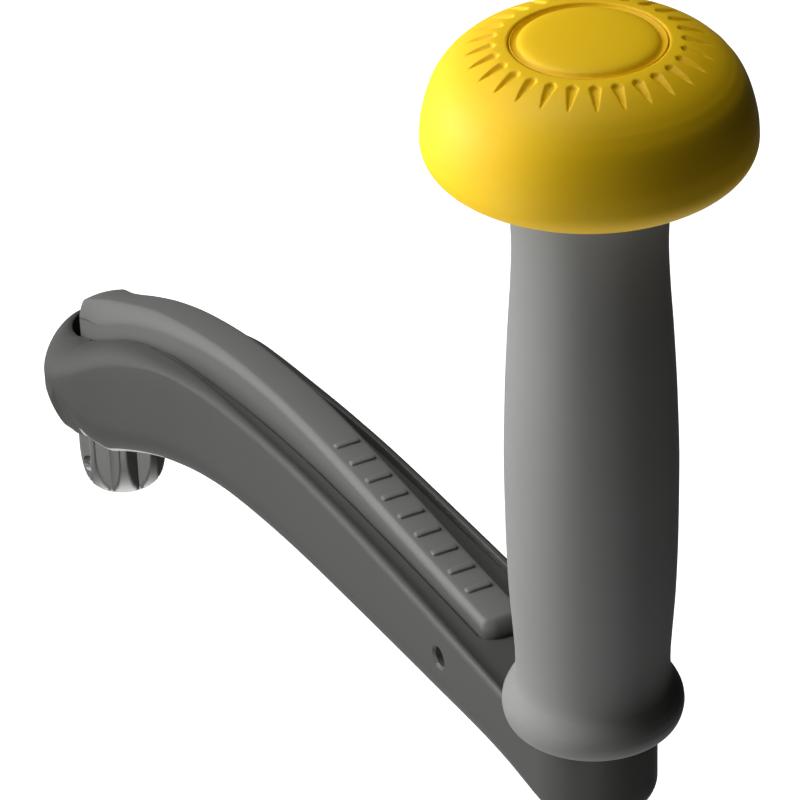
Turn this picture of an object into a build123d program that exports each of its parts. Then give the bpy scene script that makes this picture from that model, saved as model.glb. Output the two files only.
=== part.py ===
from build123d import *
import math
import os

# A 10-inch lock-in winch handle. Frame: origin on the drive axis, on the flat seat round the
# drive stub; +X runs along the arm to the grip, +Z up. Millimetres.

# ---- driving dimensions -------------------------------------------------------------------
CENTRES = 254.0            # drive axis to grip axis, 10 in
STAR_FLATS = 17.46         # 11/16 in across the flats of the eight-point drive
STAR_TIP_R = 11.4          # truncated points of the star
STUB_LENGTH = 20.0         # drive stub below the seat

HEAD_R = 19.0              # round end over the drive
BOSS_R = 13.5              # round end under the grip
BOSS_TOP = 66.5            # seat of the grip spindle
EDGE_R = 4.5               # rounding of the underside edges
CHANNEL_GAP = 0.6          # between lever and channel walls
POCKET_R = 7.6             # round pocket behind the lever

PIVOT_X = 208.6            # lever pivot, across the arm
PIVOT_Z = 57.6
PIVOT_PIN_R = 2.25
LEVER_SKIN = 1.8
LEVER_REAR = -8.0
LEVER_FRONT = 217.0
LEVER_HALF = 5.4
CROWN_R = 2.2

PLUNGER_R = 3.45
PLUNGER_BORE_R = 3.5
PLUNGER_TRAVEL = 4.0
BALL_R = 3.0               # lock balls
BALL_OFFSET = 6.6          # ball centre from the drive axis, locked
BALL_Z = -13.6
SPIGOT_R = 11.48
SPIGOT_TOP = 6.5
NECK_R = 5.9
HEAD_FLOOR = 10.0          # channel floor over the drive
HEEL_X = 3.0               # axis of the bevel under the back of the head
HEEL_R = 15.5              # its radius at the seat
HEEL_TOP = 6.0
CLIP_R = 4.3

SPINDLE_R = 7.5
SPINDLE_TOP_R = 6.0
SHANK_R = 6.98
LOWER_BEARING_Z = 70.0
UPPER_BEARING_Z = 180.0
BEARING_WIDTH = 5.0
BEARING_BALL_R = 1.2
BEARING_BALLS = 12
LOWER_BEARING = (7.5, 12.0)      # bore and outer radius, 15 x 24 x 5
UPPER_BEARING = (6.0, 10.5)      # 12 x 21 x 5

GRIP_BOTTOM = 68.3
CORE_R = 13.6
CORE_TOP = 198.0
FLANGE_R = 14.4
FLANGE_BOTTOM = 188.0
KNOB_SCREW_PCR = 12.5

# ---- outlines ------------------------------------------------------------------------------
# underside of the arm, from the edge of the seat to the boss (x, z)
UNDERSIDE = [(12, 0), (23, 5.2), (36, 12.2), (48, 18.0), (60, 22.8), (79, 28.5), (100, 32.9),
             (130, 37.1), (165, 40.6), (200, 44.0), (230, 46.5), (254, 47.0)]
# rim of the arm, from the back of the head to the boss (x, z)
RIM = [(-25, 21.6), (-8, 22.0), (-2, 23.8), (10, 30.0), (28, 39.8), (45, 46.7), (65, 53.1),
       (85, 57.4), (102, 60.0), (119, 62.1), (140, 64.0), (165, 65.2), (200, 66.1), (236, 66.5)]
# half-width of the arm (x, y)
SIDE = [(0, 19.0), (12, 18.3), (24, 17.1), (36, 15.9), (48, 15.0), (60, 14.2), (75, 13.2),
        (95, 12.5), (125, 12.3), (160, 12.5), (191, 12.9), (222, 13.3), (254, 13.5)]
# half-width of the shallow recess round the lever (x, y)
RECESS = [(44, 7.7), (60, 8.8), (85, 9.6), (119, 10.4), (160, 10.6), (190, 10.9), (212, 11.6),
          (236, 12.2)]
RECESS_DEPTH = 2.2
# floor of the channel under the lever (x, z)
CHANNEL_FLOOR = [(15, 10), (30, 14.6), (48, 22.4), (60, 27.0), (79, 32.8), (100, 37.2),
                 (130, 41.4), (165, 44.9), (200, 48.2), (221, 50.0)]
# half-width of the lever (x, y)
LEVER_SIDE = [(-8, 6.7), (10, 6.9), (30, 6.8), (50, 6.5), (70, 6.0), (90, 5.6), (110, 5.4), (217, 5.4)]
# top and bottom of the lever (x, z)
LEVER_TOP = [(-8, 32.6), (-2, 36.3), (10, 41.3), (21, 46.0), (34, 51.3), (46, 55.6), (59, 59.4),
             (70, 62.2), (82, 64.7), (93, 66.4), (104, 67.7), (115, 68.7), (136, 69.4),
             (165, 69.0), (190, 68.4), (213, 68.2)]
LEVER_BOTTOM = [(-8, 19.9), (6, 22.2), (20, 28.8), (40, 38.4), (60, 46.0), (85, 51.0),
                (119, 54.0), (165, 54.5), (200, 54.2), (212, 54.2)]

# revolved profiles of grip and knob (r, z)
SLEEVE = [(16.2, 79.0), (16.1, 83.0), (16.5, 90.0), (17.2, 101.0), (17.6, 115.0), (17.7, 130.0),
          (17.3, 146.0),
          (16.5, 162.0), (15.7, 174.0), (15.4, 182.0), (15.6, 189.0), (16.6, 196.0)]
KNOB_RIM_R = 32.65
KNOB_RIM_Z = 206.2
KNOB_RIM_ROUND = 5.5
KNOB_TOP = [(32.65, 206.2), (31.9, 212.0), (29.8, 217.9), (26.0, 222.5), (21.0, 225.2), (15.6, 226.3)]
CAP_R = 15.0
COVER_THICKNESS = 2.6

parts = {}


def keep(name, shape):
    parts[name] = shape


# ---- small helpers -------------------------------------------------------------------------
def wall(face, half):
    # an outline in the XZ plane grown from +half to -half in Y
    return Pos(0, half, 0) * extrude(face, amount=2 * half, dir=(0, -1, 0))


def raised(face):
    # a plan outline grown up to above the whole arm
    return extrude(face, amount=90, dir=(0, 0, 1))


def cylinder(r, z0, z1, x=0.0, y=0.0):
    return Pos(x, y, (z0 + z1) / 2) * Cylinder(r, z1 - z0)


def tube(inner, outer, z0, z1, x=0.0, y=0.0):
    return cylinder(outer, z0, z1, x, y) - cylinder(inner, z0 - 1, z1 + 1, x, y)


def across(r, y0, y1, x, z):
    return Pos(x, (y0 + y1) / 2, z) * Rot(90, 0, 0) * Cylinder(r, y1 - y0)


def lines(*points):
    # straight edges from point to point, without the zero-length ones
    pairs = zip(points[:-1], points[1:])
    return [Line(a, b) for a, b in pairs if math.dist(a, b) > 1e-6]


def plan_face(points, x_start, x_end):
    # symmetric plan outline through half-width points, closed by flat ends
    upper = list(points)
    lower = [(x, -y) for x, y in reversed(points)]
    front = lines(upper[-1], (x_end, upper[-1][1]), (x_end, lower[0][1]), lower[0])
    rear = lines(lower[-1], (x_start, lower[-1][1]), (x_start, upper[0][1]), upper[0])
    return make_face(Wire([Spline(*upper), *front, Spline(*lower), *rear]))


def revolved(edges, x=CENTRES):
    # a closed r-z outline turned about the grip axis
    return Pos(x, 0, 0) * revolve(make_face(Plane.XZ * Wire(list(edges))), Axis.Z)


def closed(points):
    return Polyline(*points, close=True).edges()


# ---- arm -----------------------------------------------------------------------------------
def arm_blank():
    rim = Spline(*RIM, tangents=[(1, 0), (1, 0)])
    under = Spline(*UNDERSIDE, tangents=[(1, 0.12), (1, 0)])
    end = CENTRES + BOSS_R + 6
    back = RIM[0][0]
    foot = UNDERSIDE[-1][1]
    side_view = make_face(Plane.XZ * Wire([
        *lines((back, 0), UNDERSIDE[0]), under,
        *lines(UNDERSIDE[-1], (end, foot), (end, BOSS_TOP), RIM[-1]), rim,
        *lines(RIM[0], (back, 0)),
    ]))
    left = Spline(*SIDE, tangents=[(1, 0), (1, 0)])
    right = Spline(*[(x, -y) for x, y in SIDE], tangents=[(1, 0), (1, 0)])
    plan = make_face(Wire([
        ThreePointArc((0, -HEAD_R), (-HEAD_R, 0), (0, HEAD_R)), left,
        ThreePointArc((CENTRES, BOSS_R), (CENTRES + BOSS_R, 0), (CENTRES, -BOSS_R)), right,
    ]))
    return wall(side_view, 30) & raised(plan)


def channel_cut(floor_points, rear_r):
    # the deep slot for the lever, open at the top
    floor = Spline(*floor_points)
    start = (LEVER_REAR - rear_r - 2, floor_points[0][1])
    last = floor_points[-1]
    side = make_face(Plane.XZ * Wire([
        *lines(start, floor_points[0]), floor, *lines(last, (last[0], 90), (start[0], 90), start)]))
    slot = [(x, y + CHANNEL_GAP) for x, y in LEVER_SIDE]
    plan = plan_face(slot, LEVER_REAR, LEVER_FRONT + CHANNEL_GAP)
    cut = wall(side, 20) & raised(plan)
    return cut + cylinder(rear_r, floor_points[0][1], 90, LEVER_REAR)


def recess_cut():
    floor_points = [(x, z - RECESS_DEPTH * min(1.0, (x - 38) / 60)) for x, z in RIM if x > 40]
    floor_points.append((238, BOSS_TOP - RECESS_DEPTH))
    first, last = floor_points[0], floor_points[-1]
    side = make_face(Plane.XZ * Wire([
        Spline(*floor_points), *lines(last, (last[0], 90), (first[0], 90), first)]))
    return wall(side, 20) & raised(plan_face(RECESS, RECESS[0][0], 238))


def heel_bevel():
    ring = revolve(make_face(Plane.XZ * Wire(closed([
        (HEEL_R - 1, -1), (40, -1), (40, HEEL_TOP), (HEEL_R + HEEL_TOP, HEEL_TOP)]))), Axis.Z)
    return Pos(HEEL_X, 0, 0) * ring & Pos(-20, 0, 0) * Box(80, 80, 80)


def arm_body():
    body = arm_blank().solid()
    body = body.fillet(EDGE_R, [e for e in body.edges() if is_under(e) and not crosses(e)])
    body -= heel_bevel()
    body -= channel_cut(CHANNEL_FLOOR, POCKET_R)
    body -= recess_cut()
    body -= cylinder(SPIGOT_R + 0.02, -1, SPIGOT_TOP)
    body -= cylinder(NECK_R + 0.1, 0, HEAD_FLOOR + 1)
    body -= cylinder(SHANK_R + 0.02, 40, 90, CENTRES)
    body -= cylinder(8.5, 40, 50.4, CENTRES)
    return body - across(PIVOT_PIN_R, -20, 20, PIVOT_X, PIVOT_Z)


def height_at(points, x):
    if x <= points[0][0]:
        return points[0][1]
    for (x0, z0), (x1, z1) in zip(points[:-1], points[1:]):
        if x <= x1:
            return z0 + (z1 - z0) * (x - x0) / (x1 - x0)
    return points[-1][1]


def is_under(edge):
    return all(abs((edge @ t).Z - height_at(UNDERSIDE, (edge @ t).X)) < 1.5 for t in (0.1, 0.5, 0.9))


def crosses(edge):
    # straight across the arm, from one side to the other
    return abs((edge @ 0).X - (edge @ 0.5).X) < 0.1 and abs((edge @ 0.5).Y) < 0.1


# ---- drive ---------------------------------------------------------------------------------
def star_outline():
    # two squares a turn of 45 degrees apart, with the points cut back to a circle
    square = Rectangle(STAR_FLATS, STAR_FLATS)
    return (Rot(0, 0, 22.5) * square + Rot(0, 0, 67.5) * square) & Circle(STAR_TIP_R)


def drive_stub():
    stub = Pos(0, 0, -STUB_LENGTH) * extrude(star_outline(), amount=STUB_LENGTH)
    # turned tip
    tip = revolve(make_face(Plane.XZ * Wire(closed([
        (0, -STUB_LENGTH), (STAR_TIP_R - 2.6, -STUB_LENGTH), (STAR_TIP_R + 0.1, -STUB_LENGTH + 4.5),
        (STAR_TIP_R + 0.1, 0), (0, 0)]))), Axis.Z)
    stub = (stub & tip) + cylinder(SPIGOT_R, 0, SPIGOT_TOP) + cylinder(NECK_R, SPIGOT_TOP, 15)
    stub -= cylinder(PLUNGER_BORE_R, -STUB_LENGTH - 1, 16)
    for side in (-1, 1):
        stub -= across(BALL_R + 0.05, min(side * 1.0, side * 8.2), max(side * 1.0, side * 8.2), 0, BALL_Z)
        stub -= across(2.62, min(side * 8, side * 12), max(side * 8, side * 12), 0, BALL_Z)
    return stub


def stub_nut():
    nut = tube(NECK_R, 7.1, HEAD_FLOOR, 14)
    for turn in range(4):
        nut -= Rot(0, 0, 45 + 90 * turn) * Pos(7.1, 0, 13) * Box(2.2, 2.0, 2.2)
    return nut


def plunger():
    # locking cylinder, cone and waist that the balls fall into
    waist_r = 2.4
    u = BALL_Z
    outline = closed([
        (0, u - 1.8), (PLUNGER_R - 0.5, u - 1.8), (PLUNGER_R, u - 1.3), (PLUNGER_R, u - 0.2),
        (waist_r, u + 4.0), (waist_r, u + 5.2), (PLUNGER_R, u + 7.4), (PLUNGER_R, 28.6),
        (PLUNGER_R - 0.6, 29.2), (0, 29.2)])
    body = revolve(make_face(Plane.XZ * Wire(outline)), Axis.Z)
    return body - tube(2.8, 6, 26.6, 27.4)


def plunger_clip():
    ring = tube(2.85, CLIP_R, 26.65, 27.35)
    return ring - Pos(4, 0, 27) * Box(6, 2.4, 4)


def coil(mean_r, wire_r, z0, z1, turns, x=0.0):
    path = Pos(x, 0, z0 + wire_r) * Helix((z1 - z0 - 2 * wire_r) / turns, z1 - z0 - 2 * wire_r, mean_r)
    section = Plane(origin=path @ 0, z_dir=path % 0) * Circle(wire_r)
    return sweep(section, path=path)


def lock_ball(side):
    return Pos(0, side * BALL_OFFSET, BALL_Z) * Sphere(BALL_R)


# ---- lever ---------------------------------------------------------------------------------
def lever_shell(top, bottom, side_points, rear, front):
    side = make_face(Plane.XZ * Wire([
        Spline(*bottom), Line(bottom[-1], (front, bottom[-1][1] + 3)),
        Line((front, bottom[-1][1] + 3), (front, top[-1][1] - 2.4)),
        Line((front, top[-1][1] - 2.4), top[-1]),
        Spline(*reversed(top)), Line(top[0], bottom[0]),
    ]))
    return wall(side, 20) & raised(plan_face(side_points, rear, front))


def lever():
    body = lever_shell(LEVER_TOP, LEVER_BOTTOM, LEVER_SIDE, LEVER_REAR, LEVER_FRONT).solid()
    crown = [e for e in body.edges()
             if abs((e @ 0.5).Y) > 3 and abs((e @ 0.5).Z - height_at(LEVER_TOP, (e @ 0.5).X)) < 1.0]
    body = body.fillet(CROWN_R, crown)
    inner_side = [(x, y - LEVER_SKIN) for x, y in LEVER_SIDE if x > 0]
    back = LEVER_REAR + LEVER_SKIN
    inner_top = [(back, 30.6)] + [(x, z - 3.2) for x, z in LEVER_TOP if 0 <= x <= 190]
    hollow = make_face(Plane.XZ * Wire([
        Spline(*inner_top), *lines(inner_top[-1], (190, 40), (back, 10), inner_top[0])]))
    hollow = wall(hollow, 20) & raised(plan_face(inner_side, back, 200))
    body -= hollow
    # cross ribs under the top skin, and a block that carries the wear pad
    for x in (40, 70, 100, 130, 160):
        top = height_at(LEVER_TOP, x)
        half = height_at(LEVER_SIDE, x) - LEVER_SKIN + 0.3
        body += Pos(x, 0, top - 6.2) * Box(1.6, 2 * half, 8.0)
    body += cylinder(4.4, 31.2, 35.0)
    body -= cylinder(2.0, 30, 33.6)
    body -= across(PIVOT_PIN_R + 1.25, -8, 8, PIVOT_X, PIVOT_Z)
    # raised grip bars across the press area
    for i in range(9):
        x = 139 + 8 * i
        body += Pos(x, 0, height_at(LEVER_TOP, x) + 0.05) * Box(2.0, 5.6, 0.9)
    return body


def lever_bushes():
    group = []
    for side in (-1, 1):
        a, b = sorted((side * 0.6, side * LEVER_HALF))
        bush = across(PIVOT_PIN_R + 1.25, a, b, PIVOT_X, PIVOT_Z)
        group.append(bush - across(PIVOT_PIN_R + 0.05, -8, 8, PIVOT_X, PIVOT_Z))
    return Compound(children=group)


def wear_pad():
    return cylinder(4.2, 29.5, 31.2) + cylinder(1.98, 31.2, 33.4)


# ---- grip ----------------------------------------------------------------------------------
def bearing_mid(bearing):
    return (bearing[0] + bearing[1]) / 2


def race(inner, outer, mid, z):
    ring = tube(inner, outer, z, z + BEARING_WIDTH, CENTRES)
    return ring - Pos(CENTRES, 0, z + BEARING_WIDTH / 2) * Torus(mid, BEARING_BALL_R + 0.05)


def bearing_balls(bearing, z):
    mid = bearing_mid(bearing)
    ball = Pos(CENTRES, 0, z + BEARING_WIDTH / 2) * Pos(mid, 0, 0) * Sphere(BEARING_BALL_R)
    spin = Axis((CENTRES, 0, 0), (0, 0, 1))
    return Compound(children=[ball.rotate(spin, 360 / BEARING_BALLS * i) for i in range(BEARING_BALLS)])


def bearing_cage(bearing, z):
    mid = bearing_mid(bearing)
    ring = tube(mid - 0.65, mid + 0.65, z + 0.7, z + BEARING_WIDTH - 0.7, CENTRES)
    hub = Pos(CENTRES, 0, z + BEARING_WIDTH / 2)
    for i in range(BEARING_BALLS):
        pocket = Pos(mid, 0, 0) * Rot(0, 90, 0) * Cylinder(BEARING_BALL_R + 0.06, 4)
        ring -= hub * Rot(0, 0, 360 / BEARING_BALLS * i) * pocket
    return ring


def spindle():
    outline = closed([
        (0, 50.4), (SHANK_R, 50.4), (SHANK_R, BOSS_TOP), (10, BOSS_TOP), (10, GRIP_BOTTOM - 0.3),
        (8.8, GRIP_BOTTOM - 0.3), (8.8, LOWER_BEARING_Z), (SPINDLE_R, LOWER_BEARING_Z),
        (SPINDLE_R, UPPER_BEARING_Z), (SPINDLE_TOP_R, UPPER_BEARING_Z),
        (SPINDLE_TOP_R, UPPER_BEARING_Z + BEARING_WIDTH), (0, UPPER_BEARING_Z + BEARING_WIDTH)])
    body = revolved(outline)
    body -= cylinder(4.0, 50, 64, CENTRES)
    return body - cylinder(3.0, 170, 186, CENTRES)


def screw(r, length, head_r, head_h, z_seat, up, x, y=0.0, socket_flats=4.0):
    # a socket-head screw; up says which way its shank points
    way = 1 if up else -1
    shank = cylinder(r, *sorted((z_seat, z_seat + way * length)), x, y)
    head = cylinder(head_r, *sorted((z_seat, z_seat - way * head_h)), x, y)
    hexagon = RegularPolygon(socket_flats / 2, 6, major_radius=False)
    depth = head_h * 0.6
    recess = extrude(hexagon, amount=depth)
    low = z_seat - way * head_h
    return shank + head - Pos(x, y, low if up else low - depth) * recess


def knob_screws():
    group = []
    for i in range(3):
        turn = math.radians(30 + 120 * i)
        x = CENTRES + KNOB_SCREW_PCR * math.cos(turn)
        y = KNOB_SCREW_PCR * math.sin(turn)
        group.append(screw(1.5, 8, 2.8, 1.8, 201.2, False, x, y, 2.0))
    return Compound(children=group)


def screw_holes(r, z0, z1):
    holes = []
    for i in range(3):
        turn = math.radians(30 + 120 * i)
        holes.append(cylinder(r, z0, z1, CENTRES + KNOB_SCREW_PCR * math.cos(turn),
                              KNOB_SCREW_PCR * math.sin(turn)))
    return holes


def grip_core():
    lower, upper = LOWER_BEARING[1], UPPER_BEARING[1]
    body = revolved(closed([
        (lower, GRIP_BOTTOM + 0.7), (CORE_R, GRIP_BOTTOM + 0.7), (CORE_R, FLANGE_BOTTOM - 2),
        (FLANGE_R, FLANGE_BOTTOM), (FLANGE_R, CORE_TOP), (upper, CORE_TOP),
        (upper, UPPER_BEARING_Z), (upper - 0.9, UPPER_BEARING_Z),
        (upper - 0.9, LOWER_BEARING_Z + BEARING_WIDTH + 4),
        (lower - 1.2, LOWER_BEARING_Z + BEARING_WIDTH + 1),
        (lower - 1.2, LOWER_BEARING_Z + BEARING_WIDTH), (lower, LOWER_BEARING_Z + BEARING_WIDTH)]))
    body -= tube(upper - 0.5, upper + 0.7, 185.1, 186.3, CENTRES)
    for hole in screw_holes(1.5, 192, 199):
        body -= hole
    # four ribs lock the moulded sleeve to the tube
    for i in range(4):
        turn = 45 + 90 * i
        rib = Pos(CENTRES, 0, 0) * Rot(0, 0, turn) * Pos(CORE_R + 0.3, 0, 125) * Box(1.4, 2.0, 90)
        body += rib
    return body


def grip_sleeve():
    collar_r = 19.1
    z0 = GRIP_BOTTOM
    outline = [
        Line((CORE_R, z0 + 0.7), (12.2, z0 + 0.7)), Line((12.2, z0 + 0.7), (12.2, z0)),
        Line((12.2, z0), (collar_r - 1.4, z0)),
        Spline((collar_r - 1.4, z0), (collar_r - 0.35, z0 + 0.9), (collar_r, z0 + 3.0),
               (collar_r - 0.4, z0 + 5.4), (collar_r - 1.5, z0 + 7.8), *SLEEVE),
        Line(SLEEVE[-1], (FLANGE_R, SLEEVE[-1][1])),
        Line((FLANGE_R, SLEEVE[-1][1]), (FLANGE_R, FLANGE_BOTTOM)),
        Line((FLANGE_R, FLANGE_BOTTOM), (CORE_R, FLANGE_BOTTOM - 2)),
        Line((CORE_R, FLANGE_BOTTOM - 2), (CORE_R, z0 + 0.7)),
    ]
    body = revolved(outline)
    for i in range(4):
        turn = 45 + 90 * i
        body -= Pos(CENTRES, 0, 0) * Rot(0, 0, turn) * Pos(CORE_R + 0.3, 0, 125) * Box(1.4, 2.0, 90)
    return body


def bearing_circlip():
    upper = UPPER_BEARING[1]
    ring = tube(upper - 1.2, upper + 0.65, 185.1, 186.3, CENTRES)
    return ring - Pos(CENTRES + upper, 0, 186) * Box(4, 3, 4)


# ---- palm knob -----------------------------------------------------------------------------
def knob_cover():
    t = COVER_THICKNESS
    rim_in = KNOB_RIM_R - 2 * KNOB_RIM_ROUND
    top = Spline(*KNOB_TOP, tangents=[(0, 1), (-1, 0.06)])
    inner = [(28.3, 204.6), (28.3, 211.2), (25.0, 217.2), (18.2, 221.0), (12.6, 222.6)]
    outline = [
        ThreePointArc((rim_in, KNOB_RIM_Z - 1.2),
        (KNOB_RIM_R - KNOB_RIM_ROUND, KNOB_RIM_Z - KNOB_RIM_ROUND),
                      (KNOB_RIM_R, KNOB_RIM_Z)),
        top,
        Line(KNOB_TOP[-1], (15.2, 226.1)),
        Line((15.2, 226.1), (15.2, 224.6)),
        Line((15.2, 224.6), (12.6, 224.6)),
        Line((12.6, 224.6), inner[-1]),
        *lines(*reversed(inner)),
        Line(inner[0], (rim_in, 204.6)),
        Line((rim_in, 204.6), (rim_in, KNOB_RIM_Z - 1.2)),
    ]
    return revolved([e for e in outline if e.length > 1e-6])


def knob_core():
    # disc with a raised skirt that the cover is moulded over
    outline = closed([
        (9.0, CORE_TOP), (20.0, CORE_TOP), (21.2, 203.0), (21.2, 204.9), (28.0, 204.9), (28.0, 211.0),
        (24.8, 216.8),
        (18.0, 220.6), (12.5, 222.2), (10.2, 222.8), (10.2, 218.0), (20.0, 215.0), (24.0, 210.0),
        (24.0, 207.4), (18.5, 206.0), (17.5, 201.2), (9.0, 201.2)])
    body = revolved(outline)
    for hole in screw_holes(1.6, CORE_TOP - 1, 203):
        body -= hole
    return body


def knob_cap():
    top = Spline((0, 227.5), (8.0, 227.2), (CAP_R - 0.6, 226.3), tangents=[(1, 0), (1, -0.16)])
    outline = [
        top, Line((CAP_R - 0.6, 226.3), (CAP_R, 225.8)), Line((CAP_R, 225.8), (CAP_R, 224.7)),
        Line((CAP_R, 224.7), (12.4, 224.7)), Line((12.4, 224.7), (12.4, 223.2)),
        Line((12.4, 223.2), (10.6, 223.2)), Line((10.6, 223.2), (10.6, 225.0)),
        Line((10.6, 225.0), (0, 225.6)), Line((0, 225.6), (0, 227.5)),
    ]
    return revolved(outline)


# ---- assembly ------------------------------------------------------------------------------
keep("arm_body", arm_body())
keep("drive_stub", drive_stub())
keep("stub_nut", stub_nut())
keep("lever_pivot_pin", across(PIVOT_PIN_R, -10.6, 10.6, PIVOT_X, PIVOT_Z))
keep("grip_spindle", spindle())
keep("spindle_foot_washer", tube(4.2, 8.3, 49.2, 50.4, CENTRES))
keep("spindle_foot_screw", screw(3.98, 12, 6.3, 2.5, 49.2, True, CENTRES))
keep("thrust_washer", tube(10.15, 13.6, BOSS_TOP, GRIP_BOTTOM - 0.4, CENTRES))
keep("lower_inner_race", race(LOWER_BEARING[0], 8.7, bearing_mid(LOWER_BEARING), LOWER_BEARING_Z))
keep("upper_inner_race", race(UPPER_BEARING[0], 7.2, bearing_mid(UPPER_BEARING), UPPER_BEARING_Z))
keep("spindle_top_washer", tube(3.2, 7.4, 185.0, 186.4, CENTRES))
keep("spindle_top_screw", screw(2.98, 14, 5.0, 3.2, 186.4, False, CENTRES))
keep("press_lever", lever())
keep("lever_bushes", lever_bushes())
keep("lever_wear_pad", wear_pad())
keep("lock_plunger", plunger())
keep("plunger_clip", plunger_clip())
keep("plunger_spring", coil(3.95, 0.35, 15.0, 26.6, 5))
keep("lock_ball_near", lock_ball(-1))
keep("lock_ball_far", lock_ball(1))
keep("lower_bearing_balls", bearing_balls(LOWER_BEARING, LOWER_BEARING_Z))
keep("upper_bearing_balls", bearing_balls(UPPER_BEARING, UPPER_BEARING_Z))
keep("lower_bearing_cage", bearing_cage(LOWER_BEARING, LOWER_BEARING_Z))
keep("upper_bearing_cage", bearing_cage(UPPER_BEARING, UPPER_BEARING_Z))
keep("lower_outer_race", race(10.8, LOWER_BEARING[1], bearing_mid(LOWER_BEARING), LOWER_BEARING_Z))
keep("upper_outer_race", race(9.3, UPPER_BEARING[1], bearing_mid(UPPER_BEARING), UPPER_BEARING_Z))
keep("bearing_circlip", bearing_circlip())
keep("grip_core", grip_core())
keep("grip_sleeve", grip_sleeve())
keep("grip_seal", tube(8.95, 12.0, GRIP_BOTTOM + 0.8, LOWER_BEARING_Z, CENTRES))
keep("knob_core", knob_core())
keep("knob_cover", knob_cover())
keep("knob_cap", knob_cap())
keep("knob_screws", knob_screws())

os.makedirs("parts", exist_ok=True)
for name, shape in parts.items():
    export_step(shape, f"parts/{name}.step")
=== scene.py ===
import bisect
import math

import bmesh
import bpy
from mathutils import Matrix, Vector


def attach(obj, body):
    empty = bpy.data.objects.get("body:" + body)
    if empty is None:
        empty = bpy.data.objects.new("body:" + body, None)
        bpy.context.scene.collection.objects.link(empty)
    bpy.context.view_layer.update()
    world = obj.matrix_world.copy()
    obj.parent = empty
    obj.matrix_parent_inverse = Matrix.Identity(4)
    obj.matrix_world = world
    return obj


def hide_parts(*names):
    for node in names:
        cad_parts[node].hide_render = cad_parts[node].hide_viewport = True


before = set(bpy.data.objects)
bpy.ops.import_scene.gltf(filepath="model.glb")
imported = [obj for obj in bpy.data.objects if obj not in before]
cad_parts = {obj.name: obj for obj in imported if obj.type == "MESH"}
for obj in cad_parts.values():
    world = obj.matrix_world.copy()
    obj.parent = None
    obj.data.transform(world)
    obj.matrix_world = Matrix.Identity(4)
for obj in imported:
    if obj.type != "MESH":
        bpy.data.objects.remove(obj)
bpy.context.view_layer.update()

# A lock-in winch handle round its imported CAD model. Lengths are millimetres until a mesh is made.
MM = 0.001

# ---- driving dimensions ----------------------------------------------------------------------
CENTRES = 254.0
HEAD_R = 19.0
BOSS_R = 13.5
PIVOT = (208.6, 57.6)
PIN_HOLE_R = 2.35
SLOT_GAP = 0.5
SLOT_FRONT = 217.6
SLOT_NOSE = 4.0
RECESS_START = 42.0
RECESS_END = 240.0
SEAT_R = 14.4
HEEL_RISE = 4.2
HEEL_SLOPE = 0.95
# height of the painted highlight band along the arm's lower edge
HIGHLIGHT_BAND_HEIGHT = 1.3
LEVER_REAR = -8.0
LEVER_FRONT = 217.0
LEVER_CORNER = 1.7
LEVER_NOSE = 3.2
LEVER_END_ROUND = 1.65
LEVER_CROWN = 0.35
BARS = 9
BAR_START = 139.0
BAR_PITCH = 8.0
BAR_SIZE = (1.05, 3.2, 0.6)
STAR_FLATS = 17.46
STAR_TIP_R = 11.4
STUB_LENGTH = 20.0
SPIGOT_R = 11.45
SPIGOT_TOP = 6.5
NECK_R = 5.9
NECK_TOP = 15.0
PLUNGER_BORE_R = 3.5
BALL_Z = -13.6
BALL_HOLE_R = 3.05
BALL_LIP_R = 2.62
KNOB_RIM_R = 32.65
KNOB_RIM_Z = 206.2
KNOB_RIM_ROUND = 5.5
NOTCHES = 28
NOTCH_INNER_R = 17.6
NOTCH_LENGTH = 6.2
NOTCH_HALF = 1.25
NOTCH_DEPTH = 0.75


# ---- curves ----------------------------------------------------------------------------------
def through(points, level_start=False):
    """A smooth value along a few (place, value) points, constant past both ends."""
    xs = [p[0] for p in points]
    ys = [p[1] for p in points]
    rates = [(ys[i + 1] - ys[i]) / (xs[i + 1] - xs[i]) for i in range(len(xs) - 1)]
    slopes = [0.0 if level_start else rates[0]]
    for a, b in zip(rates[:-1], rates[1:]):
        slopes.append(2 * a * b / (a + b) if a * b > 0 else 0.0)
    slopes.append(rates[-1])

    def value(x):
        if x <= xs[0]:
            return ys[0]
        if x >= xs[-1]:
            return ys[-1]
        i = bisect.bisect_right(xs, x) - 1
        h = xs[i + 1] - xs[i]
        t = (x - xs[i]) / h
        s = 1 - t
        return (ys[i] * (1 + 2 * t) * s * s + slopes[i] * h * t * s * s
                + ys[i + 1] * t * t * (3 - 2 * t) - slopes[i + 1] * h * t * t * s)

    return value


def ramp(x, start, end):
    t = min(1.0, max(0.0, (x - start) / (end - start)))
    return t * t * (3 - 2 * t)


def rounded(width, height, power, steps):
    """A quarter turn from (width, 0) to (0, height): a circle at power 2, straighter towards 1."""
    turns = [math.pi / 2 * i / steps for i in range(steps + 1)]
    return [(width * (1 - math.sin(a) ** (2 / power)), height * (1 - math.cos(a) ** (2 / power)))
            for a in turns]


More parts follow.
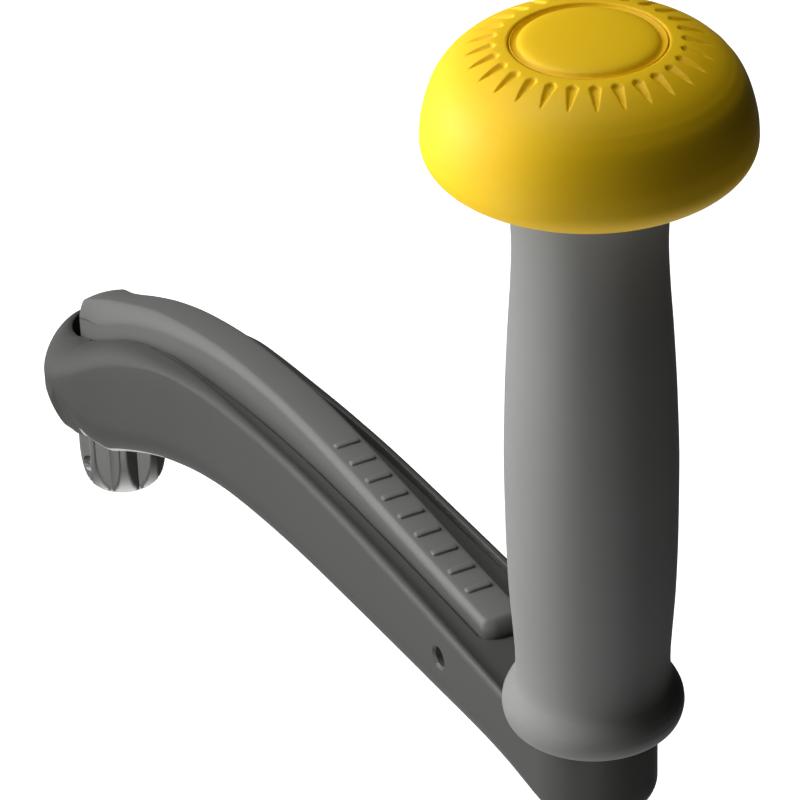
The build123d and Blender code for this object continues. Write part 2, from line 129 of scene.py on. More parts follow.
under = through([(12, 0), (23, 5.2), (36, 12.2), (48, 18.0), (60, 22.8), (79, 28.5), (100, 32.9),
                 (130, 37.1), (165, 40.6), (200, 44.0), (230, 46.5), (254, 47.0)], True)
rim = through([(-25, 24.2), (-16, 23.8), (-8, 22.6), (-2, 24.0), (10, 30.0), (28, 39.8), (45, 46.7),
               (65, 53.1), (85, 57.4), (102, 60.0), (119, 62.1), (140, 64.0), (165, 65.2), (200, 66.1),
               (236, 66.5)])
side = through([(0, 19.0), (12, 18.4), (24, 17.1), (36, 15.9), (48, 15.0), (60, 14.2), (75, 13.2),
                (95, 12.5), (125, 12.3), (160, 12.5), (191, 12.9), (222, 13.3), (254, 13.5)], True)
lip = through([(0, 8.3), (10, 8.4), (29, 8.8), (45, 9.1), (65, 9.6), (85, 10.1), (102, 10.5), (119, 10.9),
               (161, 11.1), (186, 11.4), (212, 11.9), (240, 12.4)])
recess = through([(42, 7.3), (48, 7.7), (60, 8.5), (85, 9.3), (119, 10.1), (160, 10.3), (190, 10.6),
                  (212, 11.2), (240, 11.8)])
channel = through([(15, 10), (30, 14.6), (48, 22.4), (60, 27.0), (79, 32.8), (100, 37.2), (130, 41.4),
                   (165, 44.9), (200, 48.2), (221, 50.0)])
lever_half = through([(-8, 6.7), (10, 6.9), (30, 6.8), (50, 6.5), (70, 6.0), (90, 5.6), (110, 5.4),
                      (217, 5.4)])
lever_top = through([(-8, 32.6), (-3, 35.3), (2, 37.4), (10, 40.8), (21, 45.8), (34, 51.3), (46, 55.6),
                     (59, 59.4), (70, 62.2), (82, 64.7), (93, 66.4), (104, 67.7), (115, 68.7), (136, 69.4),
                     (165, 69.0), (190, 68.4), (213, 68.1), (217, 67.9)])
lever_bottom = through([(-8, 19.9), (6, 22.2), (20, 28.8), (40, 38.4), (60, 46.0), (85, 51.0), (119, 54.0),
                        (165, 54.5), (200, 54.4), (217, 55.4)])
shoulder_drop = through([(-8, 4.8), (8, 5.8), (21, 4.9), (40, 3.7), (58, 2.8), (80, 2.2), (110, 1.7),
                         (213, 1.7)])
shoulder_width = through([(-8, 3.6), (8, 3.7), (21, 3.4), (40, 3.0), (58, 2.4), (80, 1.9), (110, 1.5),
                          (213, 1.4)])


# ---- mesh helpers ----------------------------------------------------------------------------
def finished(name, bm, materials, smooth_angle=32):
    """A mesh object from bm in millimetres, clean, closed and shaded smooth up to an angle."""
    bmesh.ops.remove_doubles(bm, verts=bm.verts, dist=0.0015)
    bmesh.ops.dissolve_degenerate(bm, dist=0.0005, edges=bm.edges)
    bmesh.ops.recalc_face_normals(bm, faces=bm.faces)
    bmesh.ops.scale(bm, vec=(MM, MM, MM), verts=bm.verts)
    mesh = bpy.data.meshes.new(name)
    bm.to_mesh(mesh)
    bm.free()
    obj = bpy.data.objects.new(name, mesh)
    bpy.context.scene.collection.objects.link(obj)
    for material in materials:
        mesh.materials.append(material)
    shade(mesh, smooth_angle)
    return obj


def shade(mesh, angle):
    mesh.polygons.foreach_set("use_smooth", [True] * len(mesh.polygons))
    mesh.set_sharp_from_angle(angle=math.radians(angle))


def grid(bm, rows, around=False, flip=False):
    """Quads between rows of points of one length."""
    verts = [[bm.verts.new(p) for p in row] for row in rows]
    for a, b in zip(verts[:-1], verts[1:]):
        count = len(a)
        for k in range(count if around else count - 1):
            n = (k + 1) % count
            corners = [a[k], b[k], b[n], a[n]]
            bm.faces.new(corners[::-1] if flip else corners)
    return verts


def turned(bm, outline, x, segments=160):
    """An r-z outline turned about the vertical axis at x; points with r = 0 close it."""
    rows = []
    for r, z in outline:
        rows.append([(x + r * math.cos(a), r * math.sin(a), z)
                     for a in (2 * math.pi * i / segments for i in range(segments))])
    grid(bm, rows, around=True)


def cut(obj, cutters):
    """Takes the cutters out of obj and removes them."""
    for cutter in cutters:
        change = obj.modifiers.new("cut", "BOOLEAN")
        change.object = cutter
        change.solver = "EXACT"
    evaluated = obj.evaluated_get(bpy.context.evaluated_depsgraph_get())
    mesh = bpy.data.meshes.new_from_object(evaluated)
    obj.modifiers.clear()
    old = obj.data
    obj.data = mesh
    bpy.data.meshes.remove(old)
    mesh.name = obj.name
    for cutter in cutters:
        bpy.data.objects.remove(cutter)
    shade(mesh, 32)


def turned_cutter(outline, place, segments=48):
    """A closed turned body used only to cut. place moves it from the vertical axis at the origin."""
    bm = bmesh.new()
    turned(bm, outline, 0, segments)
    bmesh.ops.transform(bm, matrix=place, verts=bm.verts)
    return finished("cutter", bm, [])


# ---- arm -------------------------------------------------------------------------------------
def slot_half(x):
    half = lever_half(x) + SLOT_GAP
    nose = (x - (SLOT_FRONT - SLOT_NOSE)) / SLOT_NOSE
    if nose <= 0:
        return half
    return half * math.sqrt(1 - nose * nose) if nose < 1 else 0.0


def slot_behind(turn):
    """Reach of the slot from the drive axis behind the lever, turn degrees from straight back."""
    a = math.radians(turn)
    wide = lever_half(LEVER_REAR) + SLOT_GAP
    return min(2 * (wide + 0.6) * math.cos(a), (wide + 0.6 * math.cos(a)) / max(math.sin(a), 1e-6))


def heel(x, y):
    """How far the underside is bevelled up in front of the seat."""
    if x <= 0:
        return 0.0
    return min(HEEL_RISE, HEEL_SLOPE * max(0.0, math.hypot(x, y) - SEAT_R)) * (1 - ramp(x, 11, 27))


def arm_stations():
    """(outline point, centre point, slot reach) from the back of the head to the front of the boss."""
    stations = []
    for i in range(31):
        a = math.radians(3.0 * i)
        stations.append(((-HEAD_R * math.cos(a), HEAD_R * math.sin(a)), (0.0, 0.0), slot_behind(3.0 * i)))
    places = [1.6 * i for i in range(1, 133)]
    places += [SLOT_FRONT - SLOT_NOSE * (1 - math.sin(math.pi / 2 * i / 10)) for i in range(11)]
    places += [SLOT_FRONT + 0.05 + 2.0 * i for i in range(1, 12)]
    places += [RECESS_END, RECESS_END + 0.05]
    places += [RECESS_END + 2.0 * i for i in range(1, 7)]
    for x in sorted(places):
        stations.append(((x, side(x)), (x, 0.0), slot_half(x)))
    for i in range(21):
        a = math.radians(4.5 * i)
        stations.append(((CENTRES + BOSS_R * math.sin(a), BOSS_R * math.cos(a)), (CENTRES, 0.0), 0.0))
    return stations


def arm_section(outline, centre, slot):
    """One half section of the arm, from its underside to the floor of the lever slot."""
    ox, oy = outline
    cx, cy = centre
    reach = math.hypot(cx - ox, cy - oy)
    ux, uy = (cx - ox) / reach, (cy - oy) / reach
    behind = max(0.0, -ox / HEAD_R)
    along = max(0.0, cx)
    front = ramp(along, 232, 254)

    def at(d, z_of, lift=0.0):
        x = ox + ux * d
        return (x, oy + uy * d, z_of(x) + lift)

    def low(d, lift=0.0):
        x, y = ox + ux * d, oy + uy * d
        return (x, y, under(x) + heel(x, y) + lift)

    # underside edge: bevelled round the head, softly rounded along the arm
    head = 1 - ramp(along, 6, 46)
    edge_w = 3.5 + head * (0.9 + 1.8 * behind)
    edge_h = 8.0 + 3.0 * head - 3.5 * front
    power = 1.75 - 0.3 * head
    points = [low(reach * f) for f in (1.0, 0.9, 0.78, 0.66, 0.5)]
    points.append(low(edge_w + 0.5))
    points += [low(d, h) for d, h in rounded(edge_w, edge_h, power, 10)]

    # side, then the shoulder up to the lip
    has_recess = RECESS_START < along < RECESS_END + 0.01
    open_half = recess(along) if has_recess else max(slot, 0.0)
    lip_half = max(lip(along), open_half + 0.6)
    heavy = 1 - ramp(along, 0, 70)
    drop = 1.7 + (6.6 - 1.6 * behind) * heavy
    if front > 0.99:
        lip_half = reach - 1.6
    shoulder_w = reach - lip_half
    top_power = 2.1 - 0.3 * heavy
    low_z = low(0.0)[2] + edge_h
    high_z = rim(ox) - drop
    for f in (0.2, 0.45, 0.7):
        points.append((ox, oy, low_z + (high_z - low_z) * f))
    crest = rounded(shoulder_w, drop, top_power, 12)
    for d, h in reversed(crest):
        points.append(at(d, lambda x: rim(ox) + (rim(x) - rim(ox)) * d / shoulder_w, -h))

    # lip, recess, slot
    edge = min(0.35, 0.4 * (lip_half - open_half))
    inner = reach - open_half
    depth = 2.2 * ramp(along, RECESS_START, 84) if has_recess else 0.0
    points.append(at(inner - 2 * edge, rim))
    points.append(at(inner - edge, rim, -0.12 * edge))
    points.append(at(inner - 0.3 * edge, rim, -0.5 * edge))
    slot_d = reach - slot
    points.append(at(inner, rim, -edge if slot > 0 or has_recess else 0.0))
    floor_lift = -max(depth, edge if slot > 0 or has_recess else 0.0)
    points.append(at(inner + (0.15 if has_recess else 0.0), rim, floor_lift))
    for f in (0.33, 0.66):
        points.append(at(inner + (slot_d - inner) * f, rim, floor_lift))
    points.append(at(max(slot_d - 0.25, inner), rim, floor_lift))
    points.append(at(slot_d, rim, floor_lift - (0.25 if slot > 0 else 0.0)))
    if slot > 0:
        top_z = rim(ox + ux * slot_d) + floor_lift - 0.25
        floor_z = channel(along)
        for f in (0.3, 0.65, 1.0):
            points.append((ox + ux * slot_d, oy + uy * slot_d, top_z + (floor_z - top_z) * f))
        points.append((ox + ux * (slot_d + slot * 0.5), oy + uy * (slot_d + slot * 0.5), floor_z))
        points.append((cx, cy, floor_z))
    else:
        points += [at(reach, rim, floor_lift)] * 5
    return points


def arm(paint, edge_highlight):
    bm = bmesh.new()
    rows = [arm_section(*station) for station in arm_stations()]
    grid(bm, rows)
    grid(bm, [[(x, -y, z) for x, y, z in row] for row in rows], flip=True)
    obj = finished("arm_shell", bm, [paint, edge_highlight])
    cutters = []
    for way in (-1, 1):
        mouth = side(PIVOT[0]) - 0.25
        hole = [(0, 4.5), (PIN_HOLE_R, 4.5), (PIN_HOLE_R, mouth - 0.35),
                (PIN_HOLE_R + 0.9, mouth + 0.55), (0, mouth + 0.55)]
        place = Matrix.Translation((PIVOT[0], 0, PIVOT[1])) @ Matrix.Rotation(-way * math.pi / 2, 4, "X")
        cutters.append(turned_cutter(hole, place))
    bore = [(0, -2), (11.5, -2), (11.5, 6.5), (6.0, 6.5), (6.0, 12), (0, 12)]
    cutters.append(turned_cutter(bore, Matrix.Identity(4), 96))
    seat = [(0, 30), (8.5, 30), (8.5, 50.4), (7.0, 50.4), (7.0, 70), (0, 70)]
    cutters.append(turned_cutter(seat, Matrix.Translation((CENTRES, 0, 0)), 96))
    cut(obj, cutters)
    # the lower edge in front of the drive is painted light grey: a painted highlight for the bright rim lit
    # from below
    for face in obj.data.polygons:
        x, y, z = (v / MM for v in face.center)
        if 10 < x < 58 and abs(y) > 8 and z - under(x) - heel(x, y) < HIGHLIGHT_BAND_HEIGHT:
            face.material_index = 1
    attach(obj, "root")
    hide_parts("arm_body")


# ---- drive stub ------------------------------------------------------------------------------
def star_radius(a):
    """Two squares an eighth turn apart, with their points cut back to a circle."""
    half = STAR_FLATS / 2
    turn = (a - math.pi / 8) % (math.pi / 4)
    turn = max(turn, math.pi / 4 - turn)
    return min(half / math.cos(turn), STAR_TIP_R)


def stub(chrome):
    segments = 320
    turns = [2 * math.pi * i / segments for i in range(segments)]
    bm = bmesh.new()
    rows = [(PLUNGER_BORE_R, NECK_TOP), (PLUNGER_BORE_R, 1 - STUB_LENGTH), (4.1, -STUB_LENGTH),
            (7.0, -STUB_LENGTH)]
    outline = [[(r * math.cos(a), r * math.sin(a), z) for a in turns] for r, z in rows]
    nose = [(8.4, 0.05), (9.1, 0.4), (9.75, 1.1), (10.25, 2.2), (10.65, 3.6), (11.0, 5.4), (11.25, 7.6)]
    nose += [(STAR_TIP_R, up) for up in (10.0, 13.0, 17.0, STUB_LENGTH)]
    for reach, up in nose:
        outline.append([(min(reach, star_radius(a)) * math.cos(a), min(reach, star_radius(a)) * math.sin(a),
                         up - STUB_LENGTH) for a in turns])
    for r, z in ((SPIGOT_R, 0.0), (SPIGOT_R, SPIGOT_TOP), (NECK_R, SPIGOT_TOP), (NECK_R, NECK_TOP),
                 (PLUNGER_BORE_R, NECK_TOP)):
        outline.append([(r * math.cos(a), r * math.sin(a), z) for a in turns])
    grid(bm, outline, around=True)
    obj = finished("drive_star", bm, [chrome], 28)
    cutters = []
    for way in (-1, 1):
        place = Matrix.Translation((0, 0, BALL_Z)) @ Matrix.Rotation(-way * math.pi / 2, 4, "X")
        hole = [(0, 1.0), (BALL_HOLE_R, 1.0), (BALL_HOLE_R, 8.2), (BALL_LIP_R, 8.2), (BALL_LIP_R, 12),
                (0, 12)]
        cutters.append(turned_cutter(hole, place))
    cut(obj, cutters)
    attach(obj, "root")
    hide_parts("drive_stub")


# ---- lever -----------------------------------------------------------------------------------
def lever_stations():
    """(outline point, inward direction) from the rear end to the front end."""
    stations = []
    rear_half = lever_half(LEVER_REAR) - LEVER_CORNER
    for i in range(5):
        stations.append(((LEVER_REAR, rear_half * i / 5), (1.0, 0.0)))
    for i in range(11):
        a = math.pi / 2 * i / 10
        point = (LEVER_REAR + LEVER_CORNER * (1 - math.cos(a)), rear_half + LEVER_CORNER * math.sin(a))
        stations.append((point, (math.cos(a), -math.sin(a))))
    start = LEVER_REAR + LEVER_CORNER
    end = LEVER_FRONT - LEVER_NOSE
    count = 140
    for i in range(1, count + 1):
        x = start + (end - start) * i / count
        stations.append(((x, lever_half(x)), (0.0, -1.0)))
    flat = lever_half(end) - LEVER_NOSE
    for i in range(1, 13):
        a = math.pi / 2 * i / 12
        point = (end + LEVER_NOSE * math.sin(a), flat + LEVER_NOSE * math.cos(a))
        stations.append((point, (-math.sin(a), -math.cos(a))))
    stations.append(((LEVER_FRONT, 0.0), (-1.0, 0.0)))
    return stations


def lever_section(outline, inward):
    ox, oy = outline
    nx, ny = inward
    cx = min(max(ox, LEVER_REAR + 5.4), LEVER_FRONT - 4.6)
    opening = ramp(ox, LEVER_REAR + LEVER_CORNER, 8)
    wide = LEVER_END_ROUND + (shoulder_width(ox) - LEVER_END_ROUND) * opening
    drop = shoulder_drop(ox)
    near_end = ramp(ox, LEVER_FRONT - LEVER_NOSE - 1, LEVER_FRONT)
    wide += 1.2 * near_end
    drop += 1.6 * near_end
    crown = LEVER_CROWN + 0.8 * (1 - ramp(ox, LEVER_REAR, 30))
    bottom = lever_bottom(ox)
    top = lever_top(ox)

    def crowned(x, y):
        return lever_top(x) - crown * (y / lever_half(x)) ** 2

    points = [(ox, oy, bottom + (top - drop - bottom) * f) for f in (0.0, 0.25, 0.5, 0.75, 0.92)]
    for d, h in reversed(rounded(wide, drop, 1.55, 10)):
        x, y = ox + nx * d, oy + ny * d
        points.append((x, y, crowned(x, y) - h))
    ix, iy = ox + nx * wide, oy + ny * wide
    for f in (0.2, 0.45, 0.7, 1.0):
        x, y = ix + (cx - ix) * f, iy * (1 - f)
        points.append((x, y, crowned(x, y)))
    return points


def lever_lining(outline, inward):
    """The hollow inside of the lever, from its bottom edge to the middle of its roof."""
    ox, oy = outline
    nx, ny = inward
    skin = 1.8
    cx = min(max(ox, LEVER_REAR + 5.4), LEVER_FRONT - 4.6)
    x, y = ox + nx * skin, oy + ny * skin
    bottom = lever_bottom(ox)

    def roof(px):
        solid = ramp(px, 196, 199)
        return (lever_top(px) - 2.2 - shoulder_drop(px)) * (1 - solid) + (lever_bottom(px) + 0.4) * solid

    points = [(ox, oy, bottom), (x, y, bottom)]
    points += [(x, y, bottom + (roof(x) - bottom) * f) for f in (0.5, 0.9, 1.0)]
    points += [(x + (cx - x) * f, y * (1 - f), roof(x + (cx - x) * f)) for f in (0.5, 1.0)]
    return points


def grip_bars(material):
    """Raised bars across the press area of the lever."""
    bm = bmesh.new()
    half_x, half_y, height = BAR_SIZE
    crest = 0.56
    for i in range(BARS):
        x = BAR_START + BAR_PITCH * i
        slope = (lever_top(x + 1) - lever_top(x - 1)) / 2
        rows = []
        for scale, lift in ((1.0, -0.5), (1.0, 0.05), (0.93, 0.32), (0.78, 0.5), (0.55, crest),
                            (0.0, crest)):
            row = []
            for k in range(32):
                a = 2 * math.pi * k / 32
                px = math.copysign(abs(math.cos(a)) ** 0.45, math.cos(a)) * half_x * scale
                py = math.copysign(abs(math.sin(a)) ** 0.3, math.sin(a)) * (half_y - half_x * (1 - scale))
                if scale == 0:
                    py = 0.0
                dome = LEVER_CROWN * (py / lever_half(x)) ** 2
                row.append((x + px, py, lever_top(x) + slope * px - dome + lift * height / crest))
            rows.append(row)
        grid(bm, rows, around=True)
        bmesh.ops.contextual_create(bm, geom=[e for e in bm.edges if e.is_boundary])
    obj = finished("lever_grip_bars", bm, [material], 50)
    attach(obj, "lever")


def lever(material):
    bm = bmesh.new()
    stations = lever_stations()
    outer = [lever_section(*station) for station in stations]
    inner = [lever_lining(*station) for station in stations]
    for rows, flip in ((outer, False), (inner, True)):
        grid(bm, rows, flip=flip)
        grid(bm, [[(x, -y, z) for x, y, z in row] for row in rows], flip=not flip)
    obj = finished("lever_shell", bm, [material], 40)
    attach(obj, "lever")
    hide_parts("press_lever")


# ---- grip and knob ---------------------------------------------------------------------------
def sleeve(material):
    body = through([(79.0, 16.2), (83.0, 16.1), (90.0, 16.5), (101.0, 17.2), (115.0, 17.6), (130.0, 17.7),
                    (146.0, 17.3), (162.0, 16.5), (174.0, 15.7), (182.0, 15.4), (189.0, 15.6),
                    (196.0, 16.6)])
    collar = through([(68.3, 17.5), (68.6, 18.1), (69.2, 18.55), (70.4, 18.95), (71.6, 19.1), (73.0, 18.95),
                      (74.6, 18.35), (76.2, 17.4), (77.6, 16.6), (79.0, 16.2)])
    outline = [(13.6, 186.0), (13.6, 69.0), (12.2, 69.0), (12.2, 68.3), (17.2, 68.3)]
    outline += [(collar(68.3 + 10.7 * i / 36), 68.3 + 10.7 * i / 36) for i in range(37)]
    outline += [(body(79.0 + 3.0 * i), 79.0 + 3.0 * i) for i in range(1, 40)]
    outline += [(14.4, 196.0), (14.4, 188.0), (13.6, 186.0)]
    bm = bmesh.new()
    turned(bm, outline, CENTRES, 192)
    obj = finished("grip_sleeve_skin", bm, [material])
    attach(obj, "grip")
    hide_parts("grip_sleeve")


def knob_profile():
    """Half of the knob cover, from its lower inner edge over the rim to the groove round the cap."""
    low = KNOB_RIM_R - KNOB_RIM_ROUND
    points = [(low - KNOB_RIM_ROUND, KNOB_RIM_Z - 1.2)]
    for i in range(1, 19):
        a = math.pi / 2 * i / 18
        points.append((low - KNOB_RIM_ROUND * math.cos(a),
                       KNOB_RIM_Z - 1.2 - (KNOB_RIM_ROUND - 1.2) * math.sin(a)))
    for i in range(1, 19):
        a = math.pi / 2 * i / 18
        points.append((low + KNOB_RIM_ROUND * math.sin(a), KNOB_RIM_Z - KNOB_RIM_ROUND * math.cos(a)))
    return points


crown_height = through([(15.2, 226.4), (18.0, 226.1), (21.0, 225.2), (24.0, 223.75), (26.0, 222.4),
                        (28.0, 220.5)])
flank_radius = through([(206.2, 32.65), (209.0, 32.5), (212.0, 31.95), (215.0, 31.1), (217.9, 29.85),
                        (220.5, 28.0)], True)


def notch_depth(r, a):
    """Teardrop dimples in a ring, blunt towards the cap and pointed outwards."""
    pitch = 2 * math.pi / NOTCHES
    offset = ((a / pitch + 0.5) % 1.0 - 0.5) * pitch * r
    t = (r - NOTCH_INNER_R) / NOTCH_LENGTH
    if not 0 < t < 1:
        return 0.0
    half = NOTCH_HALF * math.sqrt(min(1.0, t / 0.16)) * (1 - max(0.0, t - 0.16) / 0.84) ** 0.75
    if half < 0.02 or abs(offset) >= half:
        return 0.0
    across = 1 - abs(offset) / half
    return NOTCH_DEPTH * min(1.0, across * 1.4) * min(1.0, half / 0.6) * min(1.0, t / 0.08)


def cover(material):
    segments = NOTCHES * 24
    turns = [2 * math.pi * i / segments for i in range(segments)]
    bm = bmesh.new()
    outline = knob_profile()
    flank = [KNOB_RIM_Z + 14.3 * i / 24 for i in range(1, 25)]
    outline += [(flank_radius(z), z) for z in flank]
    dome = [27.6 - 0.4 * i for i in range(9)] + [24.1 - 0.22 * i for i in range(31)]
    dome += [17.0, 16.5, 16.0, 15.7]
    rows = [[(CENTRES + r * math.cos(a), r * math.sin(a), z) for a in turns] for r, z in outline]
    for r in dome:
        rows.append([(CENTRES + r * math.cos(a), r * math.sin(a), crown_height(r) - notch_depth(r, a))
                     for a in turns])
    top = crown_height(15.7)
    inside = [(15.45, top - 0.12), (15.3, top - 0.45), (15.25, 224.6), (12.6, 224.6), (12.6, 222.6),
              (18.2, 221.0), (25.0, 217.2), (28.3, 211.2), (28.3, 204.6), (21.65, 204.6), (21.65, 205.0)]
    rows += [[(CENTRES + r * math.cos(a), r * math.sin(a), z) for a in turns] for r, z in inside]
    grid(bm, rows + rows[:1], around=True)
    obj = finished("knob_cover_skin", bm, [material], 40)
    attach(obj, "grip")
    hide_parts("knob_cover")


def cap(material):
    edge = 226.2
    outline = [(0, 227.5), (2, 227.49), (4, 227.45), (6, 227.38), (8, 227.26), (10, 227.1), (11.5, 226.93),
               (12.6, 226.72), (13.2, 226.5), (13.55, 226.2), (13.75, 225.75), (14.1, 225.5),
               (14.5, 225.55), (14.75, 225.9), (14.95, edge), (15.1, edge - 0.1), (15.1, 224.7),
               (12.4, 224.7), (12.4, 223.2), (10.6, 223.2), (10.6, 225.0), (0, 225.6)]
    bm = bmesh.new()
    turned(bm, outline, CENTRES, 192)
    obj = finished("knob_cap_disc", bm, [material], 50)
    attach(obj, "grip")
    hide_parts("knob_cap")


# ---- materials -------------------------------------------------------------------------------
def surface(name, colour, roughness, metallic=0.0, grain=600.0, bump=0.06, spread=0.06, specular=0.5,
            stretch=(1, 1, 1)):
    """A finish with fine grain in height and gloss, and a faint drift of colour."""
    material = bpy.data.materials.new(name)
    material.use_nodes = True
    nodes, links = material.node_tree.nodes, material.node_tree.links
    shader = nodes["Principled BSDF"]
    shader.inputs["Metallic"].default_value = metallic
    shader.inputs["Specular IOR Level"].default_value = specular
    place = nodes.new("ShaderNodeTexCoord")
    scaled = nodes.new("ShaderNodeMapping")
    scaled.inputs["Scale"].default_value = stretch
    links.new(place.outputs["Object"], scaled.inputs["Vector"])
    fine = nodes.new("ShaderNodeTexNoise")
    fine.inputs["Scale"].default_value = grain
    fine.inputs["Detail"].default_value = 4.0
    links.new(scaled.outputs["Vector"], fine.inputs["Vector"])
    broad = nodes.new("ShaderNodeTexNoise")
    broad.inputs["Scale"].default_value = 22.0
    broad.inputs["Detail"].default_value = 2.0
    links.new(place.outputs["Object"], broad.inputs["Vector"])
    tint = nodes.new("ShaderNodeMix")
    tint.data_type = "RGBA"
    tint.inputs["A"].default_value = (*[c * (1 - spread) for c in colour], 1)
    tint.inputs["B"].default_value = (*[min(1.0, c * (1 + spread)) for c in colour], 1)
    links.new(broad.outputs["Fac"], tint.inputs["Factor"])
    links.new(tint.outputs["Result"], shader.inputs["Base Color"])
    gloss = nodes.new("ShaderNodeMapRange")
    gloss.inputs["To Min"].default_value = roughness - 0.05
    gloss.inputs["To Max"].default_value = roughness + 0.05
    links.new(fine.outputs["Fac"], gloss.inputs["Value"])
    links.new(gloss.outputs["Result"], shader.inputs["Roughness"])
    height = nodes.new("ShaderNodeBump")
    height.inputs["Strength"].default_value = bump
    height.inputs["Distance"].default_value = 0.0004
    links.new(fine.outputs["Fac"], height.inputs["Height"])
    links.new(height.outputs["Normal"], shader.inputs["Normal"])
    return material


def all_materials():
    return {
        "arm_paint": surface("satin_grey_paint", (0.062, 0.0625, 0.058), 0.46, grain=1500, bump=0.05,
                             specular=0.35),
        # light grey, faintly metallic paint for the arm's lower edge: a painted highlight for the bright
        # rim lit from below
        "edge_highlight_paint": surface("edge_highlight_paint", (0.80, 0.80, 0.79), 0.30, metallic=0.35, grain=300,
                                 bump=0.03, stretch=(1, 1, 12)),
        "drive_chrome": surface("polished_chrome", (0.52, 0.52, 0.51), 0.30, metallic=1.0, grain=500,
                                bump=0.01, spread=0.02, stretch=(1, 1, 10)),
        "lever_plastic": surface("moulded_grey_nylon", (0.135, 0.135, 0.131), 0.48, grain=1300, bump=0.10,
                                 specular=0.35),
        "grip_rubber": surface("soft_grey_rubber", (0.21, 0.2125, 0.2065), 0.62, grain=1600, bump=0.10,
                               specular=0.4),
        "knob_yellow": surface("soft_yellow", (0.90, 0.56, 0.003), 0.55, grain=1300, bump=0.06, spread=0.03,
                               specular=0.28),
        "core_plastic": surface("matte_black_plastic", (0.05, 0.05, 0.052), 0.6, grain=1200, bump=0.08),
        "steel": surface("brushed_steel", (0.55, 0.55, 0.54), 0.32, metallic=1.0, grain=400, bump=0.03,
                         stretch=(1, 1, 14)),
    }


def paint_frame(materials):
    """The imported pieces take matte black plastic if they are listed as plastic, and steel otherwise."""
    plastics = ("knob_core", "grip_core", "grip_seal", "lever_wear_pad", "lever_bushes",
                "lower_bearing_cage", "upper_bearing_cage")
    for name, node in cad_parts.items():
        node.data.materials.clear()
        node.data.materials.append(materials["core_plastic" if name in plastics else "steel"])


# ---- camera, floor and light -----------------------------------------------------------------
AZIMUTH = 63.85
ELEVATION = 32.74
ROLL = -2.09
EYE = (869.02, -344.39, 599.62)


def view_axes():
    a, e, r = (math.radians(v) for v in (AZIMUTH, ELEVATION, ROLL))
    back = Vector((math.sin(a) * math.cos(e), -math.cos(a) * math.cos(e), math.sin(e)))
    level = Vector((math.cos(a), math.sin(a), 0))
    up = back.cross(level)
    right = level * math.cos(r) + up * math.sin(r)
    return right, up * math.cos(r) - level * math.sin(r), back


def camera():
    right, up, back = view_axes()
    data = bpy.data.cameras.new("camera")
    data.lens = 189.0
    data.sensor_width = 36.0
    data.clip_end = 20.0
    obj = bpy.data.objects.new("camera", data)
    bpy.context.scene.collection.objects.link(obj)
    turn = Matrix((right, up, back)).transposed().to_4x4()
    obj.matrix_world = Matrix.Translation(Vector(EYE) * MM) @ turn
    bpy.context.scene.camera = obj


def area_light(name, away, size, power, target=(0.13, 0.0, 0.09)):
    data = bpy.data.lights.new(name, "AREA")
    data.shape = "DISK"
    data.size = size
    data.energy = power
    obj = bpy.data.objects.new(name, data)
    bpy.context.scene.collection.objects.link(obj)
    obj.location = Vector(target) + away
    obj.rotation_euler = away.to_track_quat("Z", "Y").to_euler()


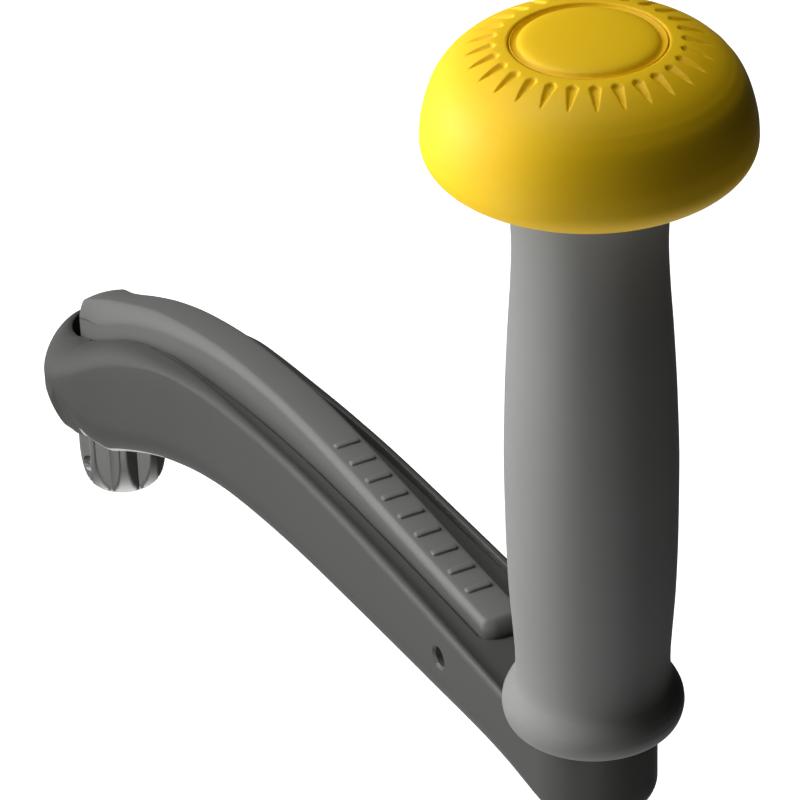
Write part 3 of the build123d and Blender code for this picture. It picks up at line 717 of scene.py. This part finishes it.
def studio():
    right, up, back = view_axes()
    bm = bmesh.new()
    bmesh.ops.create_grid(bm, x_segments=1, y_segments=1, size=6000)
    floor = finished("floor", bm, [])
    floor.location.z = -0.42
    white = bpy.data.materials.new("pale_floor")
    white.use_nodes = True
    shader = white.node_tree.nodes["Principled BSDF"]
    shader.inputs["Base Color"].default_value = (0.9, 0.9, 0.9, 1)
    shader.inputs["Emission Color"].default_value = (1, 1, 1, 1)
    shader.inputs["Emission Strength"].default_value = 1.0
    floor.data.materials.append(white)
    floor.visible_diffuse = False
    floor.visible_glossy = False
    floor.visible_shadow = False

    world = bpy.data.worlds.new("studio")
    bpy.context.scene.world = world
    world.use_nodes = True
    nodes, links = world.node_tree.nodes, world.node_tree.links
    backdrop = nodes["Background"]
    place = nodes.new("ShaderNodeTexCoord")
    left_light = lobe(nodes, links, place, -right + up * 0.42 - back * 0.12, 0.4, 1.0, 1.2)
    below = lobe(nodes, links, place, Vector((0, 0, -1)), 0.6, 1.0, 1.2)
    behind = lobe(nodes, links, place, -back, 0.78, 1.0, 0.3)
    total = nodes.new("ShaderNodeMath")
    links.new(left_light, total.inputs[0])
    links.new(below, total.inputs[1])
    both = nodes.new("ShaderNodeMath")
    links.new(total.outputs[0], both.inputs[0])
    links.new(behind, both.inputs[1])
    lifted = nodes.new("ShaderNodeMath")
    links.new(both.outputs[0], lifted.inputs[0])
    lifted.inputs[1].default_value = 0.015
    seen = nodes.new("ShaderNodeLightPath")
    choice = nodes.new("ShaderNodeMix")
    choice.data_type = "FLOAT"
    links.new(seen.outputs["Is Camera Ray"], choice.inputs["Factor"])
    links.new(lifted.outputs[0], choice.inputs["A"])
    choice.inputs["B"].default_value = 1.0
    links.new(choice.outputs["Result"], backdrop.inputs["Strength"])
    backdrop.inputs["Color"].default_value = (1, 1, 1, 1)
    area_light("key", (-right * 1.0 + up * 0.35 + back * 0.05) * 1.3, 0.7, 5)
    area_light("knob_light", -right * 0.30 + up * 0.06, 0.12, 0.55, (0.254, 0.0, 0.19))
    area_light("low_light", -right * 0.30 - up * 0.14 + back * 0.14, 0.15, 0.4, (0.254, 0.0, 0.08))
    area_light("floor_bounce", (back - up * 1.3) * 0.6, 0.5, 0.7, (0.08, 0.0, 0.04))
    area_light("top", (Vector((0, 0, 1)) * 0.9 - right * 0.3) * 1.2, 0.5, 5)


def lobe(nodes, links, place, direction, start, end, strength):
    """World brightness that rises smoothly towards one direction."""
    dot = nodes.new("ShaderNodeVectorMath")
    dot.operation = "DOT_PRODUCT"
    links.new(place.outputs["Generated"], dot.inputs[0])
    dot.inputs[1].default_value = direction.normalized()
    rise = nodes.new("ShaderNodeMapRange")
    rise.interpolation_type = "SMOOTHSTEP"
    rise.inputs["From Min"].default_value = start
    rise.inputs["From Max"].default_value = end
    rise.inputs["To Max"].default_value = strength
    links.new(dot.outputs["Value"], rise.inputs["Value"])
    return rise.outputs["Result"]


# ---- scene -----------------------------------------------------------------------------------
finishes = all_materials()
paint_frame(finishes)
arm(finishes["arm_paint"], finishes["edge_highlight_paint"])
stub(finishes["drive_chrome"])
lever(finishes["lever_plastic"])
grip_bars(finishes["lever_plastic"])
sleeve(finishes["grip_rubber"])
cover(finishes["knob_yellow"])
cap(finishes["knob_yellow"])
camera()
studio()
bpy.context.scene.view_settings.view_transform = "Standard"
